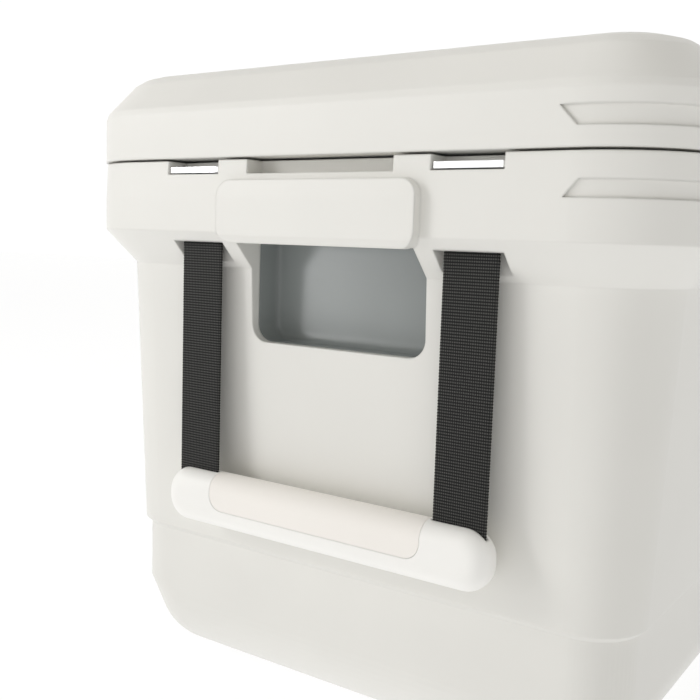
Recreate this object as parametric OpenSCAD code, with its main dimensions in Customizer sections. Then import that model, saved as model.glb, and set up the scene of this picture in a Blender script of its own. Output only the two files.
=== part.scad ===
// Hard-sided cooler chest: drafted moulded body with an overhanging collar, a hinged chamfered
// lid, two swinging webbing handles with two-tone grips, two front latches and a drain.
// X runs along the length, front (latches) faces -Y, +Z is up, feet stand on Z = 0.

/* [Lid and collar] */
// length of the collar and lid outline
collar_l = 780; // [600:10:900]
// width of the collar and lid outline
collar_w = 490; // [400:5:560]
// plan corner radius of the collar and lid
collar_r = 72; // [60:1:90]
// height of the seam between the lid and the collar
seam_z = 400; // [340:5:440]
// height of the lid above the seam
lid_h = 69; // [60:1:80]
// gap between the lid and the collar
lid_gap = 1.6; // [0.6:0.1:2]
// height of the upright band of the lid
lid_band_h = 34; // [26:1:40]
// inward run of the collar's underside slope
under_run = 24; // [18:1:28]

/* [Body] */
// draft run of the upper body walls
body_draft = 9.4; // [4:0.2:12]
// depth of the step between the upper and lower body
step_in = 4; // [2:0.5:6]
// radius of the rounded bottom edge
keel_r = 52; // [46:1:58]
// height of the rubber feet
foot_h = 6; // [4:1:10]
// wall thickness of the inner liner
liner_t = 4; // [3:0.5:5]
// length of the storage space
bay_l = 620; // [560:10:640]
// width of the storage space
bay_w = 330; // [300:10:340]
// floor height of the storage space
bay_floor = 45; // [42:1:70]

/* [Handles] */
// webbing width of the carry straps
strap_w = 38; // [32:1:42]
// webbing thickness
strap_t = 3; // [2:0.5:3.5]
// distance of each strap from the middle of the end
strap_y = 109.7; // [100:0.5:115]
// half the length of the grip
grip_half = 134; // [131:1:138]
// height of the grip
grip_h = 40; // [34:1:44]
// depth of the grip
grip_d = 26; // [25:0.5:27]
// edge rounding of the grip
grip_r = 12; // [8:0.5:12.5]
// corner radius of the grip seen from the end of the chest
grip_end_r = 18; // [14:0.5:19]

/* [Hardware] */
// distance of each hinge and latch from the middle
hinge_x = 230; // [180:10:260]
// distance of each latch from the middle
latch_x = 200; // [150:10:230]
// hinge pin radius
pin_r = 3; // [2.5:0.5:3]

/* [Hidden] */
$fn = 96;
e = 0.05;
hl = collar_l / 2;
hw = collar_w / 2;
low_z = -50;
cham_z = -75;
crease_z = -26;
step_z = -289;
kink_z = -336;
base_z = -(seam_z - foot_h);
body_l = collar_l - 2 * under_run;
body_w = collar_w - 2 * under_run;
body_r = collar_r - under_run;
low_l = body_l - 2 * body_draft - 2 * step_in;
low_w = body_w - 2 * body_draft - 2 * step_in;
low_r = 36;
axis_y = hw + 8;
knuckle_r = 7;
strap_x = 12.5;
pivot_z = -60;
cup_x = 33;
grip_top = -225.5;
notch_z = 9.7;
latch_pin_y = -(hw + 1);
latch_pin_z = -38;
drain_z = -340;

// rounded rectangle prism between two heights
module rprism(l, w, r, z0, z1) {
  translate([0, 0, z0]) linear_extrude(height = z1 - z0) {
    square([l - 2 * r, w], center = true);
    square([l, w - 2 * r], center = true);
    for (sx = [-1, 1], sy = [-1, 1]) translate([sx * (l / 2 - r), sy * (w / 2 - r)]) circle(r = r);
  }
}

// rounded rectangle solid whose outline is inset by i0 at z0 and by i1 at z1
module draft(l, w, r, z0, z1, i0, i1) {
  for (sx = [-1, 1], sy = [-1, 1])
    translate([sx * (l / 2 - r), sy * (w / 2 - r), z0]) cylinder(h = z1 - z0, r1 = r - i0, r2 = r - i1);
  rotate([90, 0, 0]) linear_extrude(height = w - 2 * r, center = true)
    polygon([[-(l / 2 - i0), z0], [l / 2 - i0, z0], [l / 2 - i1, z1], [-(l / 2 - i1), z1]]);
  rotate([90, 0, 90]) linear_extrude(height = l - 2 * r, center = true)
    polygon([[-(w / 2 - i0), z0], [w / 2 - i0, z0], [w / 2 - i1, z1], [-(w / 2 - i1), z1]]);
}

// box with its lower edges and upright corners rounded, open corners square at the top
module tub(l, w, r, z0, z1) {
  rprism(l, w, r, z0 + r, z1);
  translate([0, 0, z0 + r]) {
    for (sx = [-1, 1], sy = [-1, 1]) translate([sx * (l / 2 - r), sy * (w / 2 - r), 0]) sphere(r = r);
    for (sy = [-1, 1]) translate([0, sy * (w / 2 - r), 0]) rotate([0, 90, 0]) cylinder(h = l - 2 * r, r = r, center = true);
    for (sx = [-1, 1]) translate([sx * (l / 2 - r), 0, 0]) rotate([90, 0, 0]) cylinder(h = w - 2 * r, r = r, center = true);
    translate([0, 0, -r / 2]) cube([l - 2 * r, w - 2 * r, r], center = true);
  }
}

// local frame of one end: x runs inward from the collar face, z up from the seam
module end_at(side) {
  if (side < 0) translate([-hl, 0, seam_z]) children();
  else mirror([1, 0, 0]) translate([-hl, 0, seam_z]) children();
}
module both_ends() { end_at(-1) children(); end_at(1) children(); }

// slab across an end, seen from outside as a rounded rectangle in y and z
module end_slab(x0, x1, y, z0, z1, r) {
  translate([x0, 0, 0]) rotate([90, 0, 90]) linear_extrude(height = x1 - x0) {
    translate([-y + r, z0]) square([2 * y - 2 * r, z1 - z0]);
    translate([-y, z0 + r]) square([2 * y, z1 - z0 - 2 * r]);
    for (s = [-1, 1], t = [z0 + r, z1 - r]) translate([s * (y - r), t]) circle(r = r);
  }
}

// outside of the body without its cut-outs
module body_env() {
  translate([0, 0, seam_z]) {
    draft(collar_l, collar_w, collar_r, crease_z, 0, 0, 1.2);
    rprism(collar_l, collar_w, collar_r, low_z, crease_z);
    draft(collar_l, collar_w, collar_r, cham_z, low_z, under_run, 0);
    draft(body_l, body_w, body_r, step_z + 4, cham_z, body_draft * (cham_z - step_z - 4) / (cham_z - step_z), 0);
    draft(body_l, body_w, body_r, step_z, step_z + 4, body_draft + step_in, body_draft * (cham_z - step_z - 4) / (cham_z - step_z));
    hull() {
      rprism(low_l, low_w, low_r, kink_z, step_z, $fn = 64);
      for (sx = [-1, 1], sy = [-1, 1])
        translate([sx * (low_l / 2 - keel_r), sy * (low_w / 2 - keel_r), base_z + keel_r]) sphere(r = keel_r, $fn = 64);
    }
  }
}

// raised lifting plate in the middle of each end of the collar
module lift_plate() {
  intersection() {
    end_slab(-7, 5, 80, -57, -14.2, 11);
    rotate([90, 0, 0]) linear_extrude(height = 200, center = true)
      polygon([[-7, -52], [-7, crease_z], [-6, -14], [6, -14], [6, -60], [-3, -60]]);
  }
}

// one webbing pocket and anchor notch of the collar
module strap_cut() {
  translate([7, -23.7, -90]) cube([13, 47.4, 48]);
  translate([9, -strap_w / 2 - 1, -60]) cube([7, strap_w + 2, 60]);
  translate([-2, -24.3, -9.5]) cube([21, 48.6, 20]);
}

// ring just inside the collar outline, used for the padlock recesses
module lock_ring(z0, z1) {
  difference() {
    rprism(collar_l + 20, collar_w + 20, collar_r + 10, z0, z1);
    rprism(collar_l - 4.4, collar_w - 4.4, collar_r - 2.2, z0 - 1, z1 + 1);
  }
}

module lock_recess(z0, z1, y0, y1) {
  translate([0, 0, seam_z]) intersection() {
    lock_ring(z0, z1);
    for (sx = [-1, 1]) translate([sx * (hl - 30), 0, 0]) rotate([90, 0, 90]) linear_extrude(height = 120, center = true)
      polygon([[-y0, z0], [-y1, z1], [-hw - 20, z1], [-hw - 20, z0]]);
  }
}

module latch_recess(z0, z1) {
  for (sx = [-1, 1]) translate([sx * latch_x, 0, seam_z]) {
    translate([-36, -hw - 20, z0]) cube([72, 29, z1 - z0]);
  }
}

module front_at(sx, y, z) { translate([sx * latch_x, y, seam_z + z]) children(); }

module foot_spots() { for (sx = [-1, 1], sy = [-1, 1]) translate([sx * 270, sy * 120, 0]) children(); }

module hinge_screw_spots(z) {
  for (sx = [-1, 1], dx = [-22, 22]) translate([sx * hinge_x + dx, hw, seam_z + z]) rotate([90, 0, 0]) children();
}

module void_body(g) {
  translate([0, 0, seam_z]) {
    rprism(body_l - 12 - 2 * g, body_w - 12 - 2 * g, body_r - 6 - g, cham_z - 1, -8 - g);
    draft(body_l - 12 - 2 * g, body_w - 12 - 2 * g, body_r - 6 - g, step_z + 8, cham_z, body_draft + 1, 0);
    rprism(low_l - 12 - 2 * g, low_w - 12 - 2 * g, low_r - 6 - g, kink_z + g, step_z + 9);
    rprism(650 - 2 * g, 360 - 2 * g, 30, -380 + g, kink_z + 1);
  }
}

module cup_block(g) {
  intersection() {
    end_slab(cup_x + g, 58 - g, 77 - g, -131 + g, -42 - g, 15);
    translate([0, -100, -200]) cube([80, 200, 200]);
  }
}

module cup_space() {
  intersection() {
    end_slab(3, 55, 73.5, -127.5, -45, 13);
    rotate([90, 0, 0]) linear_extrude(height = 200, center = true) {
      translate([-20, -140]) square([69, 100]);
      translate([-20, -121.5]) square([75, 79]);
      translate([49, -121.5]) circle(r = 6);
    }
  }
}

module outer_shell() color("#f2f1ec") difference() {
  union() {
    body_env();
    both_ends() lift_plate();
  }
  difference() {
    void_body(0);
    foot_spots() translate([0, 0, 0]) cylinder(h = 26, r = 10);
    both_ends() {
      end_slab(0, 61, 80, -134, -39, 15);
      translate([0, -140, -96]) cube([32, 280, 96]);
    }
  }
  rprism(bay_l + 2 * liner_t, bay_w + 2 * liner_t, 30 + liner_t, seam_z - 20, seam_z + 5);
  both_ends() {
    cup_block(0);
    end_slab(3, cup_x + 1, 72.5, -127.5, -42, 13);
    for (s = [-1, 1]) translate([0, s * strap_y, 0]) strap_cut();
    translate([-9, -59, -notch_z]) cube([26, 118, 20]);
  }
  lock_recess(-25.4, -15.3, 169.8, 178.4);
  latch_recess(-70, 10);
  foot_spots() cylinder(h = 20, r = 2.55);
  hinge_screw_spots(-18) cylinder(h = 12, r = 2.05);
  for (sx = [-1, 1], dx = [-24.5, 24.5]) front_at(sx, -hw + 8, -38) translate([dx, 0, 0]) rotate([-90, 0, 0]) cylinder(h = 12, r = 1.55);
  for (sx = [-1, 1], s = [-1, 1], dy = [-15, 15]) translate([sx * (hl - 14), s * strap_y + dy, seam_z - 22]) cylinder(h = 14, r = 1.55);
  translate([low_l / 2 - 80, 0, seam_z + drain_z]) rotate([0, 90, 0]) cylinder(h = 90, r = 13.1);
}

module bay() { tub(bay_l, bay_w, 30, bay_floor, seam_z + 2); }

// shallow well in the floor in front of the drain
module sump(g) { translate([262 - g, -24 - g, bay_floor - 4 - g]) cube([bay_l / 2 - 262 + g, 48 + 2 * g, 40]); }

module inner_liner() color("#e9e9e6") difference() {
  union() {
    tub(bay_l + 2 * liner_t - 0.3, bay_w + 2 * liner_t - 0.3, 30 + liner_t - 0.15, bay_floor - liner_t, seam_z);
    sump(liner_t - 0.15);
  }
  bay();
  sump(0);
  translate([250, 0, seam_z + drain_z]) rotate([0, 90, 0]) cylinder(h = 90, r = 13.1);
}

module body_foam() color("#e8dcae") difference() {
  void_body(0.3);
  tub(bay_l + 2 * liner_t + 0.2, bay_w + 2 * liner_t + 0.2, 30 + liner_t, bay_floor - liner_t - 0.1, seam_z + 2);
  sump(liner_t + 0.1);
  both_ends() {
    end_slab(-1, 61.3, 80.3, -134.3, -38.7, 15);
    translate([-1, -140.3, -96.3]) cube([33.3, 280.6, 97]);
  }
  foot_spots() cylinder(h = 26.3, r = 10.3);
  translate([250, 0, seam_z + drain_z]) rotate([0, 90, 0]) cylinder(h = 120, r = 13.3);
}

module hand_cup(side) {
  difference() {
    intersection() {
      end_at(side) cup_block(0.15);
      body_env();
    }
    end_at(side) cup_space();
  }
}
module hand_cup_left() color("#8f9694") hand_cup(-1);
module hand_cup_right() color("#8f9694") hand_cup(1);

// steel plate that holds the top of each strap
module strap_anchors() color("#c9ccd0") both_ends() for (s = [-1, 1]) translate([0, s * strap_y, 0]) difference() {
  translate([0, 0, -8.6]) linear_extrude(height = 4.2) {
    translate([3.2, -23.6]) square([15.3, 47.2]);
    translate([1.2, -21.6]) square([3, 43.2]);
    for (t = [-1, 1]) translate([3.2, t * 21.6]) circle(r = 2);
  }
  for (t = [-1, 1]) translate([14, t * 15, 0]) {
    translate([0, 0, -12]) cylinder(h = 12, r = 2);
    translate([0, 0, -6.8]) cylinder(h = 12, r = 3.7);
  }
}

module anchor_screws() color("#b9bcc0") both_ends() for (s = [-1, 1], t = [-1, 1])
  translate([14, s * strap_y + t * 15, 0]) {
    translate([0, 0, -6.8]) cylinder(h = 2.3, r = 3.4);
    translate([0, 0, -20]) cylinder(h = 13.3, r = 1.5);
  }

// fixed upper end of each strap inside the collar
module strap_roots() color("#3a3b3c") both_ends() for (s = [-1, 1]) translate([0, s * strap_y, 0]) {
  translate([strap_x - strap_t / 2, -10, -58.2]) cube([strap_t, 20, 49.4]);
  translate([strap_x - strap_t / 2, -strap_w / 2, -58.2]) cube([strap_t, strap_w, 35.2]);
}

module feet() color("#2b2c2d") foot_spots() difference() {
  union() {
    cylinder(h = foot_h - 2, r = 22);
    translate([0, 0, foot_h - 2]) cylinder(h = 2, r = 24);
  }
  translate([0, 0, -1]) cylinder(h = foot_h + 2, r = 2.6);
  translate([0, 0, -1]) cylinder(h = 4, r = 6.2);
}

module foot_screws() color("#b9bcc0") foot_spots() difference() {
  union() {
    translate([0, 0, 0.8]) cylinder(h = 2.2, r = 5.5);
    translate([0, 0, 2.9]) cylinder(h = 15, r = 2.5);
  }
  translate([0, 0, 0]) cylinder(h = 1.8, r = 1.8, $fn = 24);
}

// leaf with a knuckle: z runs away from the hinge line, dir -1 for the body and +1 for the lid
module leaf(dir, lo, hi) {
  translate([-34, -8, dir > 0 ? 3 : -30]) cube([68, 3, 27]);
  for (i = [0:len(lo) - 1]) {
    translate([lo[i], 0, 0]) rotate([0, 90, 0]) cylinder(h = hi[i] - lo[i], r = knuckle_r);
    translate([lo[i], -8, dir > 0 ? 0 : -12]) cube([hi[i] - lo[i], 7, 12]);
  }
}

module hinge_body_leaves() color("#c4c7cb") for (sx = [-1, 1]) difference() {
  translate([sx * hinge_x, axis_y, seam_z]) difference() {
    leaf(-1, [-30, 12], [-12, 30]);
    rotate([0, 90, 0]) cylinder(h = 80, r = pin_r + 0.01, center = true);
    translate([-11.7, -4.9, -20]) cube([23.4, 20, 40]);
    rotate([0, 90, 0]) cylinder(h = 23.4, r = knuckle_r + 0.35, center = true);
  }
  hinge_screw_spots(-18) translate([0, 0, -6]) cylinder(h = 20, r = 2.2);
}

module hinge_body_screws() color("#b9bcc0") hinge_screw_spots(-18) {
  cylinder(h = 11, r = 2);
  translate([0, 0, -5]) cylinder(h = 1.9, r = 4);
  translate([0, 0, -3.2]) cylinder(h = 3.3, r = 2);
}

module hinge_pins() color("#b0b3b8") for (sx = [-1, 1]) translate([sx * hinge_x - 31, axis_y, seam_z]) rotate([0, 90, 0]) cylinder(h = 62, r = pin_r);

module hinge_lid_leaves() color("#c4c7cb") for (sx = [-1, 1]) difference() {
  translate([sx * hinge_x, axis_y, seam_z]) difference() {
    leaf(1, [-11.5], [11.5]);
    rotate([0, 90, 0]) cylinder(h = 80, r = pin_r + 0.07, center = true);
    for (s = [-1, 1]) translate([s * 21.2, 0, 0]) rotate([0, 90, 0]) cylinder(h = 19.2, r = knuckle_r + 0.35, center = true);
  }
  hinge_screw_spots(20) translate([0, 0, -6]) cylinder(h = 20, r = 2.2);
}

module hinge_lid_screws() color("#b9bcc0") hinge_screw_spots(20) {
  cylinder(h = 11, r = 2);
  translate([0, 0, -5]) cylinder(h = 1.9, r = 4);
  translate([0, 0, -3.2]) cylinder(h = 3.3, r = 2);
}

module latch_brackets() color("#c9ccd0") for (sx = [-1, 1]) front_at(sx, 0, 0) difference() {
  union() {
    translate([-28, -hw + 5.8, -45.5]) cube([56, 3, 15]);
    for (s = [-1, 1]) translate([s * 24.5 - 2.5, 0, 0]) {
      translate([0, -hw + 6 - 7, -45]) cube([5, 9, 14]);
      translate([0, latch_pin_y, latch_pin_z]) rotate([0, 90, 0]) cylinder(h = 5, r = 7);
    }
  }
  translate([0, latch_pin_y, latch_pin_z]) rotate([0, 90, 0]) cylinder(h = 80, r = pin_r + 0.01, center = true);
  translate([-20.8, -hw - 10, -50]) cube([41.6, 15.5, 30]);
  for (dx = [-14, 14]) translate([dx, -hw, -38]) rotate([-90, 0, 0]) cylinder(h = 20, r = 1.8);
}

module latch_bracket_screws() color("#b9bcc0") for (sx = [-1, 1], dx = [-24.5, 24.5]) front_at(sx, -hw + 8, -38)
  translate([dx, 0.9, 0]) rotate([-90, 0, 0]) cylinder(h = 9, r = 1.5);

module latch_pins() color("#b0b3b8") for (sx = [-1, 1]) front_at(sx, latch_pin_y, latch_pin_z) rotate([0, 90, 0]) cylinder(h = 55, r = pin_r, center = true);

module latch() color("#2f3031") difference() {
  union() {
    translate([0, latch_pin_y, latch_pin_z]) rotate([0, 90, 0]) cylinder(h = 40, r = 6.6, center = true);
    translate([-15, latch_pin_y - 6.4, latch_pin_z]) cube([30, 9, 52]);
    translate([0, latch_pin_y - 2, 15]) rotate([90, 0, 0]) linear_extrude(height = 14, center = true) {
      square([46, 14], center = true);
      for (s = [-1, 1]) translate([s * 23, 0]) circle(r = 7);
    }
    translate([-26, -hw - 15, 16]) cube([52, 8, 12]);
  }
  translate([0, latch_pin_y, latch_pin_z]) rotate([0, 90, 0]) cylinder(h = 80, r = pin_r + 0.07, center = true);
}
module latch_left() front_at(-1, 0, 0) latch();
module latch_right() front_at(1, 0, 0) latch();

module latch_keepers() color("#c9ccd0") for (sx = [-1, 1]) front_at(sx, -hw + 6.8, 6) difference() {
  translate([-16, 0, 0]) cube([32, 2.2, 18]);
  for (dx = [-10, 10]) translate([dx, -2, 9]) rotate([-90, 0, 0]) cylinder(h = 20, r = 1.7);
}
module keeper_screws() color("#b9bcc0") for (sx = [-1, 1], dx = [-10, 10]) front_at(sx, -hw + 7.5, 15)
  translate([dx, 0, 0]) rotate([-90, 0, 0]) cylinder(h = 12, r = 1.5);

module drain_body() color("#3b3d3e") translate([0, 0, seam_z + drain_z]) rotate([0, 90, 0]) difference() {
  union() {
    translate([0, 0, 301]) cylinder(h = 56, r = 13);
    translate([0, 0, low_l / 2 + 2.1]) cylinder(h = 5, r = 24);
    translate([0, 0, 350]) cylinder(h = 16, r = 12);
  }
  translate([0, 0, 290]) cylinder(h = 90, r = 9);
}
module drain_washer() color("#2b2c2d") translate([0, 0, seam_z + drain_z]) rotate([0, 90, 0]) translate([0, 0, low_l / 2 + 0.1]) difference() {
  cylinder(h = 1.9, r = 23);
  translate([0, 0, -1]) cylinder(h = 5, r = 13.1);
}
module drain_nut() color("#3b3d3e") translate([0, 0, seam_z + drain_z]) rotate([0, 90, 0]) translate([0, 0, 302]) difference() {
  cylinder(h = bay_l / 2 - 302.1, r = 17.5);
  translate([0, 0, -1]) cylinder(h = 20, r = 13.1);
}
module drain_cap() color("#2b2c2d") translate([0, 0, seam_z + drain_z]) rotate([0, 90, 0]) translate([0, 0, low_l / 2 + 7.4]) difference() {
  union() {
    cylinder(h = 13, r = 19);
    for (a = [0:30:330]) rotate([0, 0, a]) translate([18.6, 0, 0]) cylinder(h = 13, r = 2);
  }
  translate([0, 0, -1]) cylinder(h = 10, r = 12.4);
}

// lid outline stack, from the underside to the top
module lid_env() translate([0, 0, seam_z]) {
  rprism(collar_l, collar_w, collar_r, lid_gap, lid_band_h);
  draft(collar_l, collar_w, collar_r, lid_band_h, lid_band_h + 5, 0, 2);
  draft(collar_l, collar_w, collar_r, lid_band_h + 5, lid_h - 8, 2, 22);
  draft(collar_l, collar_w, collar_r, lid_h - 8, lid_h - 3, 22, 30);
  draft(collar_l, collar_w, collar_r, lid_h - 3, lid_h, 30, 40);
}

module lid_void(g) translate([0, 0, seam_z]) {
  rprism(744 - 2 * g, 446 - 2 * g, 50, lid_gap - 1, 32 - g);
  rprism(690 - 2 * g, 390 - 2 * g, 40, 30, lid_h - 7 - g);
}

module lid_shell() color("#f2f1ec") difference() {
  lid_env();
  lid_void(0);
  latch_recess(-2, 32);
  lock_recess(13.5, 24.6, 176, 165.6);
  hinge_screw_spots(20) cylinder(h = 12, r = 2.05);
  rprism(560, 270, 30, seam_z + lid_h - 2, seam_z + lid_h + 2);
  for (sx = [-1, 1], dx = [-10, 10]) front_at(sx, -hw + 8, 15) translate([dx, 0, 0]) rotate([-90, 0, 0]) cylinder(h = 12, r = 1.55);
}

module lid_liner() color("#e9e9e6") translate([0, 0, seam_z]) difference() {
  union() {
    rprism(743.6, 445.6, 49.8, lid_gap, lid_gap + 4);
    rprism(bay_l - 10, bay_w - 10, 26, -15, lid_gap + 1);
  }
  rprism(bay_l - 18, bay_w - 18, 22, -11, lid_gap + 8);
  difference() {
    rprism(684, 388, 40, lid_gap - 1, lid_gap + 1.6);
    rprism(655.6, 365.6, 34, lid_gap - 2, lid_gap + 3);
  }
}

module lid_gasket() color("#4a4c4d") translate([0, 0, seam_z]) difference() {
  rprism(683.6, 387.6, 39.8, 0.4, lid_gap + 1.5);
  rprism(656, 366, 34.2, -1, lid_gap + 3);
}

module lid_foam() color("#e8dcae") difference() {
  lid_void(0.3);
  translate([0, 0, seam_z]) rprism(780, 480, 60, -3, lid_gap + 4.2);
  latch_recess(-2, 32);
}

// outline of the grip in its end frame
module grip_env() {
  r = grip_end_r;
  low = grip_top - grip_h;
  for (sy = [-1, 1], z = [low + r, grip_top - r])
    translate([0, sy * (grip_half - r), z]) rotate([0, 90, 0]) {
      translate([0, 0, grip_r]) cylinder(h = grip_d - 2 * grip_r, r = r);
      cylinder(h = grip_d, r = r - grip_r);
      for (x = [grip_r, grip_d - grip_r]) translate([0, 0, x]) rotate_extrude() intersection() {
        translate([r - grip_r, 0]) circle(r = grip_r);
        translate([0, -grip_d]) square([2 * grip_d, 2 * grip_d]);
      }
    }
  rotate([90, 0, 0]) linear_extrude(height = 2 * (grip_half - r), center = true) translate([0, low]) {
    translate([grip_r, 0]) square([grip_d - 2 * grip_r, grip_h]);
    translate([0, grip_r]) square([grip_d, grip_h - 2 * grip_r]);
    for (x = [grip_r, grip_d - grip_r], z = [grip_r, grip_h - grip_r]) translate([x, z]) circle(r = grip_r);
  }
  translate([grip_d / 2, 0, 0]) rprism(grip_d, 2 * grip_half, grip_r, low + r, grip_top - r);
}

module insert_zone(g) difference() {
  end_slab(-2, grip_d + 2, 88.5 + g, grip_top - 25 - g, grip_top + 30, 11);
  translate([4.5 + g, -100, grip_top - 40]) cube([40, 200, 35.5 - g]);
}

module strap_moving() for (s = [-1, 1]) translate([0, s * strap_y, 0]) difference() {
  union() {
    translate([strap_x - strap_t / 2, -strap_w / 2, grip_top - 26]) cube([strap_t, strap_w, -grip_top + 26 + pivot_z]);
    translate([strap_x, 0, pivot_z]) rotate([90, 0, 0]) cylinder(h = strap_w, r = strap_t / 2, center = true);
    translate([strap_x, 0, grip_top - 26]) rotate([90, 0, 0]) cylinder(h = strap_w, r = 5, center = true);
  }
  translate([strap_x, 0, grip_top - 26]) rotate([90, 0, 0]) cylinder(h = strap_w + 2, r = 2.52, center = true);
}

module grip_core() difference() {
  grip_env();
  insert_zone(0);
  for (s = [-1, 1]) translate([0, s * strap_y, 0]) {
    translate([strap_x - strap_t / 2 - 0.3, -strap_w / 2 - 0.3, grip_top - 26]) cube([strap_t + 0.6, strap_w + 0.6, 40]);
    translate([strap_x, 0, grip_top - 26]) rotate([90, 0, 0]) cylinder(h = strap_w + 0.6, r = 5.3, center = true);
  }
}

module grip_insert() intersection() {
  grip_env();
  insert_zone(-0.15);
}

module grip_rods() for (s = [-1, 1]) translate([strap_x, s * strap_y, grip_top - 26]) rotate([90, 0, 0]) cylinder(h = strap_w, r = 2.5, center = true);

module straps_left() color("#3a3b3c") end_at(-1) strap_moving();
module grip_core_left() color("#f2f1ec") end_at(-1) grip_core();
module grip_insert_left() color("#ebe7e0") end_at(-1) grip_insert();
module grip_rods_left() color("#b0b3b8") end_at(-1) grip_rods();
module straps_right() color("#3a3b3c") end_at(1) strap_moving();
module grip_core_right() color("#f2f1ec") end_at(1) grip_core();
module grip_insert_right() color("#ebe7e0") end_at(1) grip_insert();
module grip_rods_right() color("#b0b3b8") end_at(1) grip_rods();

outer_shell();
inner_liner();
body_foam();
hand_cup_left();
hand_cup_right();
strap_anchors();
anchor_screws();
strap_roots();
feet();
foot_screws();
hinge_body_leaves();
hinge_body_screws();
hinge_pins();
latch_brackets();
latch_bracket_screws();
latch_pins();
drain_body();
drain_nut();
drain_washer();
lid_shell();
lid_liner();
lid_foam();
lid_gasket();
hinge_lid_leaves();
hinge_lid_screws();
latch_keepers();
keeper_screws();
latch_left();
latch_right();
straps_left();
grip_core_left();
grip_insert_left();
grip_rods_left();
straps_right();
grip_core_right();
grip_insert_right();
grip_rods_right();
drain_cap();
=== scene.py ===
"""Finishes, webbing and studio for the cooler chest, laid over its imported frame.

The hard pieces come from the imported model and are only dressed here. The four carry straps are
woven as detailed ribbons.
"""

import logging
import math
from dataclasses import dataclass, field
from enum import Enum

import bmesh
import bpy
from mathutils import Matrix, Vector


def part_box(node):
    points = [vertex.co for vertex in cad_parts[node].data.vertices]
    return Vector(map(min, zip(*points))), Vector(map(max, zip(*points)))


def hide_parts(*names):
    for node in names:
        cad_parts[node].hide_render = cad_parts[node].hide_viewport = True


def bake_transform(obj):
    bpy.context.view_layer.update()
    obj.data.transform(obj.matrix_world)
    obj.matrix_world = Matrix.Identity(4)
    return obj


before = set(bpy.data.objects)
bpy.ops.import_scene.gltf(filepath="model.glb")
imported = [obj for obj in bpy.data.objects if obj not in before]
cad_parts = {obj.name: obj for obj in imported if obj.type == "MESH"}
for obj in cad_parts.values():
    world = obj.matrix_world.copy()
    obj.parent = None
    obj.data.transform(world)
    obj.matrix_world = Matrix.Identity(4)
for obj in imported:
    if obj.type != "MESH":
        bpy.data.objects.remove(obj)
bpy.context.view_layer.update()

MM_PER_M = 1000.0

log = logging.getLogger("cooler")

Colour = tuple[float, float, float]
Place = tuple[float, float, float]
Span = tuple[float, float]

WHITE: Colour = (1.0, 1.0, 1.0)


class End(Enum):
    """The two ends of the chest along its length."""

    LEFT = -1
    RIGHT = 1

    @property
    def word(self) -> str:
        """Lower-case name of the end, as the node names use it."""
        return self.name.lower()

    @property
    def handle_body(self) -> str:
        """Name of the moving body of this end's handle."""
        return "handle_a" if self is End.LEFT else "handle_b"


class Grain(Enum):
    """Surface texture of a moulded or rubber piece, as its noise scale and bump strength."""

    FINE = (900.0, 0.045)
    LEATHERY = (520.0, 0.10)

    @property
    def scale(self) -> float:
        """Scale of the noise that makes the grain."""
        return self.value[0]

    @property
    def strength(self) -> float:
        """Strength of the grain's bump."""
        return self.value[1]


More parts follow.
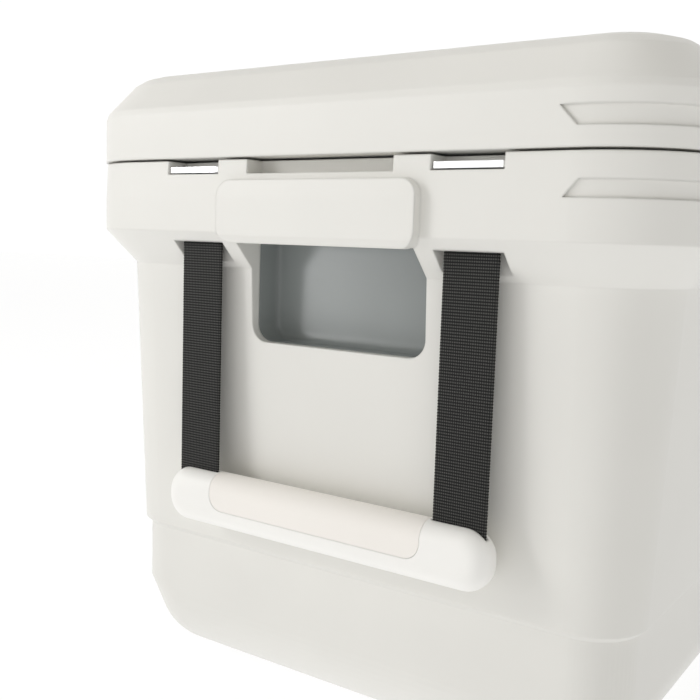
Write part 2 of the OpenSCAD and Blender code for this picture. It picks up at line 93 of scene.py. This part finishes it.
class NodeSheet:
    """Small helper that builds one material's node tree."""

    def __init__(self, name: str) -> None:
        """Start a material with a Principled shader.

        Args:
            name: the material's name.
        """
        self.material = bpy.data.materials.new(name)
        self.material.use_nodes = True
        self.tree = self.material.node_tree
        self.shader = self.tree.nodes["Principled BSDF"]

    def node(self, kind: str, **settings: object) -> bpy.types.Node:
        """Add a node and set its properties.

        Args:
            kind: Blender's node type name.
            **settings: properties set on the node.

        Returns:
            The new node.
        """
        made = self.tree.nodes.new(kind)
        for key, value in settings.items():
            setattr(made, key, value)
        return made

    def link(self, source: bpy.types.NodeSocket, target: bpy.types.NodeSocket) -> None:
        """Join two sockets."""
        self.tree.links.new(source, target)

    def math(
        self, operation: str, a: bpy.types.NodeSocket, b: float | None = None
    ) -> bpy.types.NodeSocket:
        """Add a Math node fed with a socket and, where it takes two inputs, a number.

        Args:
            operation: the Math node's operation.
            a: the socket that feeds the first input.
            b: the number on the second input, or None.

        Returns:
            The node's result socket.
        """
        made = self.node("ShaderNodeMath", operation=operation)
        self.link(a, made.inputs[0])
        if b is not None:
            made.inputs[1].default_value = b
        return made.outputs[0]

    def product(self, a: bpy.types.NodeSocket, b: bpy.types.NodeSocket) -> bpy.types.NodeSocket:
        """Multiply two sockets."""
        made = self.node("ShaderNodeMath", operation="MULTIPLY")
        self.link(a, made.inputs[0])
        self.link(b, made.inputs[1])
        return made.outputs[0]

    def remap(
        self, source: bpy.types.NodeSocket, before: Span, after: Span
    ) -> bpy.types.NodeSocket:
        """Map one range of values onto another, clamped at both ends.

        Args:
            source: the value to map.
            before: the lowest and highest value read.
            after: the values that these two become.

        Returns:
            The mapped value's socket.
        """
        made = self.node("ShaderNodeMapRange")
        made.inputs["From Min"].default_value = before[0]
        made.inputs["From Max"].default_value = before[1]
        made.inputs["To Min"].default_value = after[0]
        made.inputs["To Max"].default_value = after[1]
        self.link(source, made.inputs["Value"])
        return made.outputs["Result"]

    def noise(self, place: bpy.types.NodeSocket, scale: float, detail: float) -> bpy.types.NodeSocket:
        """Add a noise texture.

        Args:
            place: the coordinates that it is laid over.
            scale: its scale.
            detail: its detail.

        Returns:
            The noise's value socket.
        """
        made = self.node("ShaderNodeTexNoise")
        made.inputs["Scale"].default_value = scale
        made.inputs["Detail"].default_value = detail
        self.link(place, made.inputs["Vector"])
        return made.outputs["Fac"]

    def tint(self, colour: Colour, factor: bpy.types.NodeSocket) -> None:
        """Set the base colour to one colour, scaled by a socket.

        Args:
            colour: the colour at a factor of one.
            factor: the socket that scales it.
        """
        made = self.node("ShaderNodeVectorMath", operation="SCALE")
        made.inputs[0].default_value = colour
        self.link(factor, made.inputs["Scale"])
        self.link(made.outputs["Vector"], self.shader.inputs["Base Color"])

    def soft_edge(self, edge_mm: float, samples: int = 6) -> bpy.types.NodeSocket:
        """Round the edges in the shading.

        Args:
            edge_mm: radius of the rounding, in millimetres.
            samples: rays used for it.

        Returns:
            The rounded normal's socket.
        """
        made = self.node("ShaderNodeBevel", samples=samples)
        made.inputs["Radius"].default_value = edge_mm / MM_PER_M
        return made.outputs["Normal"]

    def bump(self, height: bpy.types.NodeSocket, strength: float, depth: float) -> bpy.types.Node:
        """Raise the surface by a height and use that as the shader's normal.

        Args:
            height: the socket that gives the height.
            strength: strength of the bump.
            depth: full height of the bump, in metres.

        Returns:
            The bump node.
        """
        made = self.node("ShaderNodeBump")
        made.inputs["Strength"].default_value = strength
        made.inputs["Distance"].default_value = depth
        self.link(height, made.inputs["Height"])
        self.link(made.outputs["Normal"], self.shader.inputs["Normal"])
        return made


@dataclass(frozen=True)
class MouldedFinish:
    """A moulded plastic or rubber skin with soft edges, a faint mottle and a little grain."""

    name: str
    colour: Colour
    roughness: float = 0.45
    specular: float = 0.5
    edge_mm: float = 1.2
    grain: Grain = Grain.FINE
    grain_depth: float = 0.0004
    mottle: float = 0.02
    mottle_scale: float = 7.0
    mottle_read: Span = (0.3, 0.7)
    noise_detail: float = 2.0

    def make(self) -> bpy.types.Material:
        """Build the material.

        Returns:
            The finished material.
        """
        sheet = NodeSheet(self.name)
        sheet.shader.inputs["Roughness"].default_value = self.roughness
        sheet.shader.inputs["Specular IOR Level"].default_value = self.specular
        place = sheet.node("ShaderNodeTexCoord").outputs["Object"]
        cloud = sheet.noise(place, self.mottle_scale, self.noise_detail)
        sheet.tint(self.colour, sheet.remap(cloud, self.mottle_read, (1.0 - self.mottle, 1.0 + self.mottle)))
        cells = sheet.noise(place, self.grain.scale, self.noise_detail)
        bump = sheet.bump(cells, self.grain.strength, self.grain_depth)
        sheet.link(sheet.soft_edge(self.edge_mm), bump.inputs["Normal"])
        return sheet.material


@dataclass(frozen=True)
class SteelFinish:
    """Brushed stainless steel."""

    name: str
    colour: Colour = (0.92, 0.925, 0.93)
    roughness: float = 0.22
    smoother: float = 0.05
    rougher: float = 0.08
    edge_mm: float = 0.7
    brush_scale: Place = (900.0, 60.0, 900.0)
    brush_detail: float = 3.0

    def make(self) -> bpy.types.Material:
        """Build the material.

        Returns:
            The finished material.
        """
        sheet = NodeSheet(self.name)
        sheet.shader.inputs["Base Color"].default_value = (*self.colour, 1.0)
        sheet.shader.inputs["Metallic"].default_value = 1.0
        stretch = sheet.node("ShaderNodeMapping")
        stretch.inputs["Scale"].default_value = self.brush_scale
        sheet.link(sheet.node("ShaderNodeTexCoord").outputs["Object"], stretch.inputs["Vector"])
        brushed = sheet.noise(stretch.outputs["Vector"], 1.0, self.brush_detail)
        rough_span = (self.roughness - self.smoother, self.roughness + self.rougher)
        sheet.link(sheet.remap(brushed, (0.0, 1.0), rough_span), sheet.shader.inputs["Roughness"])
        sheet.link(sheet.soft_edge(self.edge_mm), sheet.shader.inputs["Normal"])
        return sheet.material


@dataclass(frozen=True)
class WebbingFinish:
    """Woven nylon: cross ribs over columns of yarn, with painted highlights on the yarn tops and painted
    shade in the grooves between them.
    """

    name: str
    colour: Colour = (0.024, 0.024, 0.0225)
    roughness: float = 0.62
    specular: float = 0.2
    rib_mm: float = 1.9
    yarn_mm: float = 1.55
    yarn_flatness: float = 0.6
    painted_light_read: Span = (0.38, 1.0)
    painted_light_span: Span = (0.10, 3.9)
    bump_strength: float = 0.7
    bump_depth: float = 0.0005

    def make(self) -> bpy.types.Material:
        """Build the material from the ribbon's own UVs, which are in millimetres.

        Returns:
            The finished material.
        """
        sheet = NodeSheet(self.name)
        sheet.shader.inputs["Roughness"].default_value = self.roughness
        sheet.shader.inputs["Specular IOR Level"].default_value = self.specular
        split = sheet.node("ShaderNodeSeparateXYZ")
        sheet.link(sheet.node("ShaderNodeUVMap", uv_map="weave").outputs["UV"], split.inputs[0])
        ridge = self.hump(sheet, split.outputs["X"], self.yarn_mm)
        ridge = sheet.math("POWER", ridge, self.yarn_flatness)
        yarn = sheet.product(self.hump(sheet, split.outputs["Y"], self.rib_mm), ridge)
        # Painted highlight and shade: the base colour is brightened on the tops of the yarn and darkened in
        # the grooves between ribs and columns.
        sheet.tint(self.colour, sheet.remap(yarn, self.painted_light_read, self.painted_light_span))
        sheet.bump(yarn, self.bump_strength, self.bump_depth)
        return sheet.material

    def hump(
        self, sheet: NodeSheet, place: bpy.types.NodeSocket, pitch_mm: float
    ) -> bpy.types.NodeSocket:
        """Make a row of rounded humps, as the absolute value of a sine.

        Args:
            sheet: the material's nodes.
            place: the position along the row, in millimetres.
            pitch_mm: distance from one hump to the next.

        Returns:
            The hump's height, from zero to one.
        """
        turns = sheet.math("MULTIPLY", sheet.math("DIVIDE", place, pitch_mm), math.pi)
        return sheet.math("ABSOLUTE", sheet.math("SINE", turns))


class Finish(Enum):
    """Every finish on the chest."""

    SHELL = MouldedFinish("shell_white", (0.80, 0.79, 0.752), 0.44, edge_mm=2.2)
    LINER = MouldedFinish("liner_white", (0.74, 0.74, 0.72), 0.38, edge_mm=1.5)
    FOAM = MouldedFinish("foam_cream", (0.62, 0.52, 0.30), 0.9, grain=Grain.LEATHERY)
    CUP = MouldedFinish("cup_grey", (0.29, 0.311, 0.307), 0.25, edge_mm=6.0)
    GRIP = MouldedFinish("grip_white", (0.93, 0.92, 0.89), 0.5, edge_mm=1.6)
    PAD = MouldedFinish(
        "grip_soft", (0.92, 0.885, 0.84), 0.66, specular=0.35, edge_mm=0.5, grain=Grain.LEATHERY
    )
    RUBBER = MouldedFinish("black_rubber", (0.022, 0.022, 0.023), 0.6, edge_mm=1.4)
    DRAIN = MouldedFinish("drain_black", (0.028, 0.028, 0.03), 0.42, edge_mm=0.8)
    SEAL = MouldedFinish("gasket_grey", (0.06, 0.06, 0.062), 0.7, edge_mm=0.6)
    STEEL = SteelFinish("steel")
    WEBBING = WebbingFinish("webbing")


@dataclass
class Palette:
    """The chest's materials, each made the first time it is asked for."""

    made: dict[Finish, bpy.types.Material] = field(default_factory=dict)

    def get(self, finish: Finish) -> bpy.types.Material:
        """Return the material of a finish.

        Args:
            finish: the finish wanted.

        Returns:
            Its material.
        """
        if finish not in self.made:
            self.made[finish] = finish.value.make()
        return self.made[finish]


Wear = tuple[tuple[Finish, tuple[str, ...]], ...]


@dataclass
class SubAssembly:
    """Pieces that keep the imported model's meshes and are dressed here."""

    palette: Palette
    wear: Wear = ()

    def dress(self) -> None:
        """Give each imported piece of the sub-assembly its finish."""
        for finish, names in self.wear:
            for name in names:
                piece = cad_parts[name]
                piece.data.materials.clear()
                piece.data.materials.append(self.palette.get(finish))
                log.info("%s dressed as %s", name, finish.value.name)


@dataclass
class Body(SubAssembly):
    """The insulated box with its hand cups, strap plates and feet."""

    wear: Wear = (
        (Finish.SHELL, ("outer_shell",)),
        (Finish.LINER, ("inner_liner",)),
        (Finish.FOAM, ("body_foam",)),
        (Finish.CUP, ("hand_cup_left", "hand_cup_right")),
        (Finish.STEEL, ("strap_anchors", "anchor_screws", "foot_screws")),
        (Finish.RUBBER, ("feet",)),
    )


@dataclass
class Lid(SubAssembly):
    """The insulated lid and its gasket."""

    wear: Wear = (
        (Finish.SHELL, ("lid_shell",)),
        (Finish.LINER, ("lid_liner",)),
        (Finish.FOAM, ("lid_foam",)),
        (Finish.SEAL, ("lid_gasket",)),
    )


@dataclass
class Hinges(SubAssembly):
    """The two rear hinges."""

    wear: Wear = (
        (Finish.STEEL, ("hinge_body_leaves", "hinge_body_screws", "hinge_pins")),
        (Finish.STEEL, ("hinge_lid_leaves", "hinge_lid_screws")),
    )


@dataclass
class Latches(SubAssembly):
    """The two rubber latches at the front, with their brackets and keepers."""

    wear: Wear = (
        (Finish.RUBBER, ("latch_left", "latch_right")),
        (Finish.STEEL, ("latch_brackets", "latch_bracket_screws", "latch_pins")),
        (Finish.STEEL, ("latch_keepers", "keeper_screws")),
    )


@dataclass
class Drain(SubAssembly):
    """The drain at the right end."""

    wear: Wear = (
        (Finish.DRAIN, ("drain_body", "drain_nut", "drain_cap")),
        (Finish.RUBBER, ("drain_washer",)),
    )


@dataclass
class Handles(SubAssembly):
    """The two grips with their rods, and the plain straps that the ribbons replace."""

    wear: Wear = (
        (Finish.GRIP, ("grip_core_left", "grip_core_right")),
        (Finish.PAD, ("grip_insert_left", "grip_insert_right")),
        (Finish.STEEL, ("grip_rods_left", "grip_rods_right")),
        (Finish.WEBBING, ("strap_roots", "straps_left", "straps_right")),
    )


@dataclass
class Ribbon:
    """One carry strap: a woven ribbon from its anchor plate down into the grip."""

    end: End
    side: int
    palette: Palette
    width: float = 0.0376
    thickness: float = 0.0026
    hidden_end: float = 0.0065
    pin_radius: float = 0.0015
    half_slot: float = 0.019
    rib: float = Finish.WEBBING.value.rib_mm / MM_PER_M
    rib_depth: float = 0.00034
    side_swell: float = 0.9
    edge_roundness: float = 0.92
    bend_above: float = 0.010
    bend_below: float = 0.016
    rings_per_rib: int = 4
    selvedge: int = 5
    columns: int = 22
    centre_x: float = field(init=False)
    centre_y: float = field(init=False)
    bottom: float = field(init=False)
    hinge: float = field(init=False)
    top: float = field(init=False)

    def __post_init__(self) -> None:
        """Take the ribbon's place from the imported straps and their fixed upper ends."""
        low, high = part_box(f"straps_{self.end.word}")
        self.centre_x = (low[0] + high[0]) / 2
        self.centre_y = self.side * (high[1] - self.half_slot)
        self.bottom = low[2] + self.hidden_end
        self.hinge = high[2] - self.pin_radius
        self.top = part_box("strap_roots")[1][2]

    def outline(self, swell: float) -> list[tuple[float, float]]:
        """Cross-section of the ribbon, counter-clockwise, as (across, out) pairs.

        Args:
            swell: how far this ring stands proud of the mean surface.

        Returns:
            The ring's points in metres.
        """
        half = self.width / 2 + swell * self.side_swell
        deep = self.thickness / 2 + swell
        radius = deep * self.edge_roundness
        flat = half - radius
        points = []
        for face in (-1, 1):
            for step in range(self.columns + 1):
                points.append((face * (flat - 2 * flat * step / self.columns), face * deep))
            for step in range(1, self.selvedge + 1):
                turn = math.pi * (step / (self.selvedge + 1) + face / 2)
                points.append((-face * flat + radius * math.cos(turn), deep * math.sin(turn)))
        return points

    def build(self) -> bpy.types.Object:
        """Weave the ribbon's mesh with its own UVs in millimetres.

        Returns:
            The new object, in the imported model's frame.
        """
        length = self.top - self.bottom
        rings = int(length / self.rib * self.rings_per_rib)
        mesh = bpy.data.meshes.new(f"strap_{self.end.word}_{self.side}")
        bm = bmesh.new()
        weave = bm.loops.layers.uv.new("weave")
        rows = []
        for ring in range(rings + 1):
            height = self.top - length * ring / rings
            wave = math.cos(2 * math.pi * ring / self.rings_per_rib)
            row = []
            for across, deep in self.outline(self.rib_depth * wave / 2):
                place = (self.centre_x - self.end.value * deep, self.centre_y + across, height)
                row.append(bm.verts.new(place))
            rows.append(row)
        for upper, lower in zip(rows, rows[1:]):
            for index in range(len(upper)):
                after = (index + 1) % len(upper)
                face = bm.faces.new((upper[index], upper[after], lower[after], lower[index]))
                face.smooth = True
                for loop in face.loops:
                    across_mm = (loop.vert.co.y - self.centre_y + self.half_slot) * MM_PER_M
                    down_mm = (self.top - loop.vert.co.z) * MM_PER_M
                    loop[weave].uv = (across_mm, down_mm)
        bm.faces.new(list(reversed(rows[0])))
        bm.faces.new(rows[-1])
        bmesh.ops.recalc_face_normals(bm, faces=bm.faces)
        bm.to_mesh(mesh)
        bm.free()
        made = bpy.data.objects.new(mesh.name, mesh)
        bpy.context.scene.collection.objects.link(made)
        return made

    def dress(self, ribbon: bpy.types.Object) -> None:
        """Give the ribbon its finish, fix its transform and hide the plain straps that it replaces.

        Args:
            ribbon: the object from build().
        """
        ribbon.data.materials.append(self.palette.get(Finish.WEBBING))
        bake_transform(ribbon)
        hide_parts(f"straps_{self.end.word}", "strap_roots")
        log.info("%s woven", ribbon.name)


@dataclass(frozen=True)
class Lamp:
    """One soft square light, with its side in metres and its power in watts."""

    name: str
    place: Place
    aim: Place
    size: float
    watts: float
    tint: Colour = WHITE

    def hang(self) -> None:
        """Hang the light at its place, facing the point it aims at."""
        data = bpy.data.lights.new(self.name, "AREA")
        data.shape = "SQUARE"
        data.size = self.size
        data.energy = self.watts
        data.color = self.tint
        made = bpy.data.objects.new(self.name, data)
        made.location = self.place
        facing = Vector(self.aim) - Vector(self.place)
        made.rotation_mode = "QUATERNION"
        made.rotation_quaternion = facing.to_track_quat("-Z", "Y")
        bpy.context.scene.collection.objects.link(made)


FACE: Place = (-0.38, 0.0, 0.22)


@dataclass
class Studio:
    """Pale floor, white screens, soft lights and the camera."""

    camera_place: Place = (-0.88795, -0.37641, 0.34778)
    yaw_deg: float = 34.67
    pitch_deg: float = 6.63
    roll_deg: float = -1.84
    lens_mm: float = 48.86
    sensor_mm: float = 36.0
    clip_start: float = 0.01
    clip_end: float = 100.0
    floor_size: float = 30.0
    floor_grey: float = 0.18
    floor_roughness: float = 0.9
    floor_glow: float = 0.84
    screen_glow: float = 1.03
    screen_far: float = 12.0
    screen_right: float = 8.0
    screen_foot: float = -0.1
    screen_top: float = 14.0
    air_colour: Colour = (1.0, 0.972, 0.905)
    air_strength: float = 0.31
    lamps: tuple[Lamp, ...] = (
        Lamp("key", (-2.0, 2.0, 1.3), FACE, 0.85, 18.0, (1.0, 0.998, 0.99)),
        Lamp("card", (-2.3, 1.6, 0.33), FACE, 0.45, 4.5),
        Lamp("fill", (-2.4, -1.6, 1.0), FACE, 2.0, 5.5),
        Lamp("front", (0.6, -2.6, 1.6), (0.0, 0.0, 0.25), 2.0, 4.5),
        Lamp("top", (-0.7, 0.4, 2.6), (-0.2, 0.0, 0.4), 2.0, 18.0),
    )

    def sheet_of(self, name: str, corners: list[Place], material: bpy.types.Material) -> bpy.types.Object:
        """Lay one flat sheet of the studio.

        Args:
            name: the sheet's name.
            corners: its four corners, in order.
            material: what it is made of.

        Returns:
            The sheet.
        """
        mesh = bpy.data.meshes.new(name)
        mesh.from_pydata(corners, [], [(0, 1, 2, 3)])
        made = bpy.data.objects.new(name, mesh)
        bpy.context.scene.collection.objects.link(made)
        made.data.materials.append(material)
        return made

    def glowing(self, name: str, grey: float, glow: float) -> NodeSheet:
        """Make a plain grey material with an even white glow.

        Args:
            name: the material's name.
            grey: its grey.
            glow: strength of its glow.

        Returns:
            The material's nodes.
        """
        sheet = NodeSheet(name)
        sheet.shader.inputs["Base Color"].default_value = (grey, grey, grey, 1.0)
        sheet.shader.inputs["Emission Color"].default_value = (*WHITE, 1.0)
        sheet.shader.inputs["Emission Strength"].default_value = glow
        return sheet

    def floor(self) -> None:
        """Lay the pale floor, which glows evenly."""
        sheet = self.glowing("floor_pale", self.floor_grey, self.floor_glow)
        sheet.shader.inputs["Roughness"].default_value = self.floor_roughness
        half = self.floor_size / 2
        corners = [(-half, -half, 0), (half, -half, 0), (half, half, 0), (-half, half, 0)]
        self.sheet_of("floor", corners, sheet.material)

    def backdrop(self) -> None:
        """Stand four white screens far around the chest, which show but add no diffuse light."""
        sheet = self.glowing("screen_white", 0.0, self.screen_glow)
        sheet.shader.inputs["Specular IOR Level"].default_value = 0.0
        far = self.screen_far
        right = self.screen_right
        walls = {
            "screen_right": ((right, -far), (right, far)),
            "screen_back": ((-far, far), (right, far)),
            "screen_left": ((-far, -far), (-far, far)),
            "screen_front": ((-far, -far), (right, -far)),
        }
        for name, (start, stop) in walls.items():
            low = [(*start, self.screen_foot), (*stop, self.screen_foot)]
            high = [(*stop, self.screen_top), (*start, self.screen_top)]
            self.sheet_of(name, low + high, sheet.material).visible_diffuse = False

    def lights(self) -> None:
        """Hang the lamps and set the pale light of the surroundings."""
        for lamp in self.lamps:
            lamp.hang()
        world = bpy.data.worlds.new("studio")
        world.use_nodes = True
        air = world.node_tree.nodes["Background"]
        air.inputs["Color"].default_value = (*self.air_colour, 1.0)
        air.inputs["Strength"].default_value = self.air_strength
        bpy.context.scene.world = world

    def camera(self) -> None:
        """Set the camera, close to one end and a little below the seam."""
        data = bpy.data.cameras.new("camera")
        data.sensor_width = self.sensor_mm
        data.lens = self.lens_mm
        data.clip_start = self.clip_start
        data.clip_end = self.clip_end
        made = bpy.data.objects.new("camera", data)
        yaw, pitch, roll = (math.radians(v) for v in (self.yaw_deg, self.pitch_deg, self.roll_deg))
        ahead = Vector((math.cos(yaw) * math.cos(pitch), math.sin(yaw) * math.cos(pitch), -math.sin(pitch)))
        level = Vector((math.sin(yaw), -math.cos(yaw), 0.0))
        down = ahead.cross(level)
        right = level * math.cos(roll) + down * math.sin(roll)
        up = level * math.sin(roll) - down * math.cos(roll)
        made.matrix_world = Matrix.Translation(Vector(self.camera_place)) @ Matrix(
            (
                (right.x, up.x, -ahead.x, 0.0),
                (right.y, up.y, -ahead.y, 0.0),
                (right.z, up.z, -ahead.z, 0.0),
                (0.0, 0.0, 0.0, 1.0),
            )
        )
        bpy.context.scene.collection.objects.link(made)
        bpy.context.scene.camera = made
        bpy.context.scene.view_settings.view_transform = "Standard"


def main() -> None:
    """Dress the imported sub-assemblies, weave the straps and set up the studio."""
    logging.basicConfig(level=logging.INFO, format="%(name)s: %(message)s")
    palette = Palette()
    for kind in (Body, Lid, Hinges, Latches, Drain, Handles):
        kind(palette).dress()
    for end in End:
        for side in (-1, 1):
            strap = Ribbon(end, side, palette)
            strap.dress(strap.build())
    studio = Studio()
    studio.floor()
    studio.backdrop()
    studio.lights()
    studio.camera()
    log.info("studio ready")


if __name__ == "__main__":
    main()
